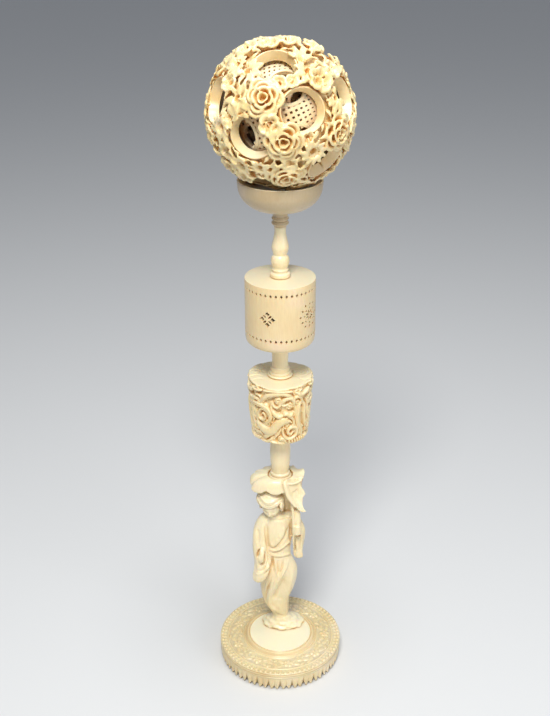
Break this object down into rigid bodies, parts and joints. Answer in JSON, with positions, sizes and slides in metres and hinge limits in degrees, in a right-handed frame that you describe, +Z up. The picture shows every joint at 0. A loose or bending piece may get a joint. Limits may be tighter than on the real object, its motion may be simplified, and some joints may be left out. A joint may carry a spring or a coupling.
{
  "type": "carved ivory puzzle ball on a stand",
  "caption": "Carved ivory puzzle ball of nested pierced shells, resting in a cup on a tall stand with carved and pierced drums, a standing lady under a lotus leaf and a scalloped foot.",
  "frame": {"origin": "centre of the foot's underside, on the stand's axis", "axes": "+Z up along the stand's axis, -Y towards the front that the lady faces, +X to the viewer's right"},
  "size_m": [0.0822, 0.0827, 0.4082],
  "materials": {
    "ivory": "polished ivory, warm cream with amber in the carved recesses"
  },
  "bodies": {
    "root": {"scalloped_foot": "ivory", "lady_under_lotus_leaf": "ivory", "lower_post": "ivory", "carved_cloud_drum": "ivory", "middle_post": "ivory", "pierced_drum": "ivory", "baluster_post": "ivory", "ball_cup": "ivory", "flower_shell": "ivory", "inner_shell_1": "ivory", "inner_shell_2": "ivory", "inner_shell_3": "ivory"}
  },
  "joints": []
}
